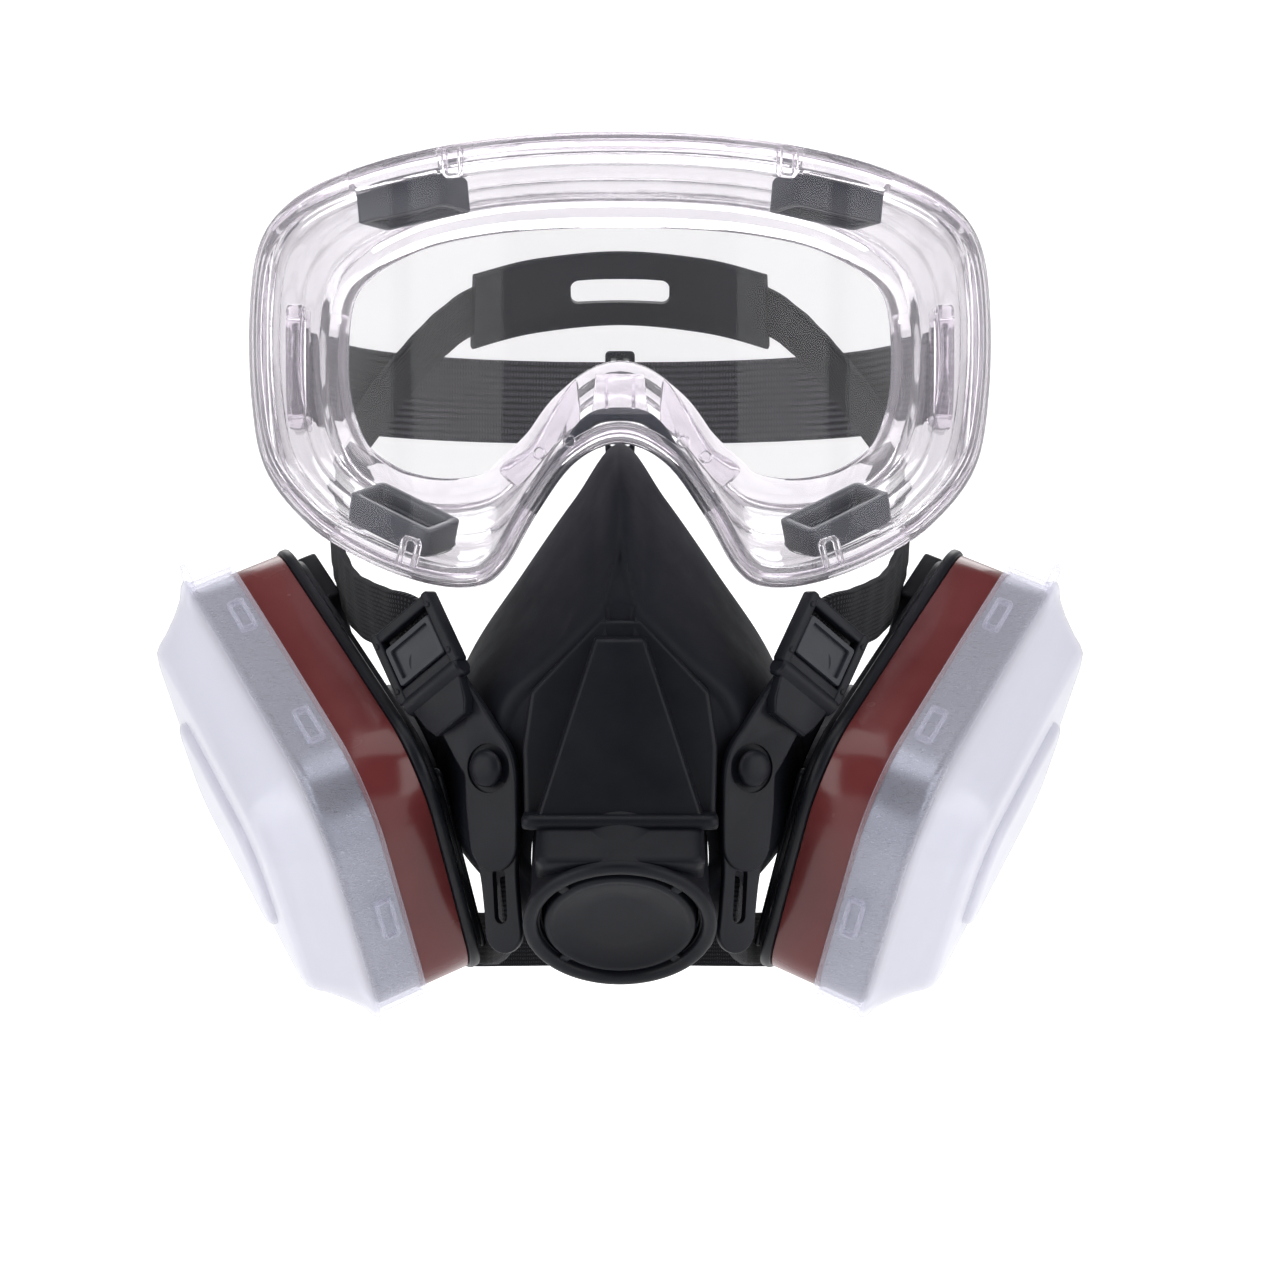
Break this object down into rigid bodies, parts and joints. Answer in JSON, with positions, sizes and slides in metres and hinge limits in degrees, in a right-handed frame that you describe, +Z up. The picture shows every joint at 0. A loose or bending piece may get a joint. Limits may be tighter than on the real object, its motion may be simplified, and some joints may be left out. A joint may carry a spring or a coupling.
{
  "type": "respirator and goggle set",
  "caption": "Black half-mask respirator with clipped-on side gas cartridges, white prefilter caps and strap harness, worn under a clear wraparound vented goggle.",
  "frame": {"origin": "base of the wearer's nose, in the mid plane, where the facepiece cavity meets the face", "axes": "+Z up the face, -Y forward out of the face, +X to the wearer's left"},
  "size_m": [0.2382, 0.2255, 0.2163],
  "materials": {
    "mask_rubber": "fine matt moulded elastomer",
    "cover_plastic": "fine matt moulded nylon",
    "port_plastic": "satin moulded nylon",
    "valve_rubber": "thin silicone rubber",
    "base_plastic": "satin moulded plastic",
    "can_silver": "silver-grey satin lacquer",
    "label_brown": "glossy plain brown film",
    "carbon": "activated carbon granules",
    "cotton": "needled white cotton felt",
    "cap_white": "frosted translucent polypropylene",
    "harness_plastic": "satin black acetal",
    "buckle_grey": "dark grey moulded plastic",
    "webbing": "ribbed woven elastic",
    "frame_clear": "clear soft vinyl, faint warm tint",
    "lens_clear": "clear coated polycarbonate",
    "vent_grey": "dark navy soft plastic"
  },
  "bodies": {
    "facepiece_body": {"facepiece": "mask_rubber", "front_cover": "cover_plastic", "exhalation_housing": "cover_plastic", "exhalation_seat": "cover_plastic", "inhalation_port_left": "port_plastic", "inhalation_port_right": "port_plastic", "port_gasket_left": "mask_rubber", "port_gasket_right": "mask_rubber", "harness_stud_left": "harness_plastic", "harness_stud_right": "harness_plastic", "upper_strap_left": "webbing", "upper_strap_right": "webbing", "lower_strap_left": "webbing", "lower_strap_right": "webbing", "head_cradle": "harness_plastic", "neck_clip_hook": "harness_plastic", "neck_clip_loop": "harness_plastic"},
    "exhalation_flap_body": {"exhalation_flap": "valve_rubber"},
    "exhalation_cover_body": {"exhalation_cover": "cover_plastic"},
    "goggle_body": {"goggle_frame": "frame_clear", "goggle_lens": "lens_clear", "nose_pad": "vent_grey", "nose_tab": "frame_clear", "upper_vent_left": "vent_grey", "upper_vent_right": "vent_grey", "lower_vent_left": "vent_grey", "lower_vent_right": "vent_grey", "strap_clip_left": "frame_clear", "strap_clip_right": "frame_clear", "goggle_strap": "webbing"},
    "goggle_slider_body": {"goggle_slider": "harness_plastic"},
    "inhalation_flap_left_body": {"inhalation_flap_left": "valve_rubber"},
    "cartridge_left_body": {"cartridge_base_left": "base_plastic", "cartridge_can_left": "can_silver", "cartridge_label_left": "label_brown", "inner_screen_left": "can_silver", "carbon_bed_left": "carbon", "outer_grille_left": "can_silver"},
    "retainer_cap_left_body": {"retainer_cap_left": "cap_white", "prefilter_pad_left": "cotton"},
    "harness_arm_left_body": {"harness_arm_left": "harness_plastic", "buckle_frame_left": "harness_plastic", "buckle_plate_left": "buckle_grey"},
    "inhalation_flap_right_body": {"inhalation_flap_right": "valve_rubber"},
    "cartridge_right_body": {"cartridge_base_right": "base_plastic", "cartridge_can_right": "can_silver", "cartridge_label_right": "label_brown", "inner_screen_right": "can_silver", "carbon_bed_right": "carbon", "outer_grille_right": "can_silver"},
    "retainer_cap_right_body": {"retainer_cap_right": "cap_white", "prefilter_pad_right": "cotton"},
    "harness_arm_right_body": {"harness_arm_right": "harness_plastic", "buckle_frame_right": "harness_plastic", "buckle_plate_right": "buckle_grey"}
  },
  "joints": [
    {"name": "exhalation_flap_lift", "type": "slide", "parent": "facepiece_body", "child": "exhalation_flap_body", "axis": [0, -0.6947, -0.7193], "range_m": [0, 0.0012], "stiffness_N_per_m": 40},
    {"name": "exhalation_cover_pull", "type": "slide", "parent": "facepiece_body", "child": "exhalation_cover_body", "axis": [0, -0.6947, -0.7193], "range_m": [0, 0.012]},
    {"name": "goggle_lift", "type": "hinge", "parent": "facepiece_body", "child": "goggle_body", "pos_m": [0, 0.116, 0.072], "axis": [-1, 0, 0], "range_deg": [0, 32]},
    {"name": "goggle_slider_slide", "type": "slide", "parent": "goggle_body", "child": "goggle_slider_body", "axis": [1, 0, 0], "range_m": [-0.01, 0.01]},
    {"name": "inhalation_flap_left_lift", "type": "slide", "parent": "facepiece_body", "child": "inhalation_flap_left_body", "axis": [-0.8918, 0.249, 0.3778], "range_m": [0, 0.0012], "stiffness_N_per_m": 40},
    {"name": "cartridge_left_twist", "type": "hinge", "parent": "facepiece_body", "child": "cartridge_left_body", "pos_m": [0.05382, -0.01513, -0.03323], "axis": [-0.8918, 0.249, 0.3778], "range_deg": [0, 30]},
    {"name": "retainer_cap_left_pull", "type": "slide", "parent": "cartridge_left_body", "child": "retainer_cap_left_body", "axis": [0.8918, -0.249, -0.3778], "range_m": [0, 0.025]},
    {"name": "harness_arm_left_swing", "type": "hinge", "parent": "facepiece_body", "child": "harness_arm_left_body", "pos_m": [0.03, -0.073, -0.029], "axis": [0.5, -0.866, 0], "range_deg": [-2.5, 4], "deforming": ["upper_strap_left", "lower_strap_left"]},
    {"name": "inhalation_flap_right_lift", "type": "slide", "parent": "facepiece_body", "child": "inhalation_flap_right_body", "axis": [0.8918, 0.249, 0.3778], "range_m": [0, 0.0012], "stiffness_N_per_m": 40},
    {"name": "cartridge_right_twist", "type": "hinge", "parent": "facepiece_body", "child": "cartridge_right_body", "pos_m": [-0.05382, -0.01513, -0.03323], "axis": [-0.8918, -0.249, -0.3778], "range_deg": [0, 30]},
    {"name": "retainer_cap_right_pull", "type": "slide", "parent": "cartridge_right_body", "child": "retainer_cap_right_body", "axis": [-0.8918, -0.249, -0.3778], "range_m": [0, 0.025]},
    {"name": "harness_arm_right_swing", "type": "hinge", "parent": "facepiece_body", "child": "harness_arm_right_body", "pos_m": [-0.03, -0.073, -0.029], "axis": [0.5, 0.866, 0], "range_deg": [-2.5, 4], "deforming": ["upper_strap_right", "lower_strap_right"]}
  ]
}
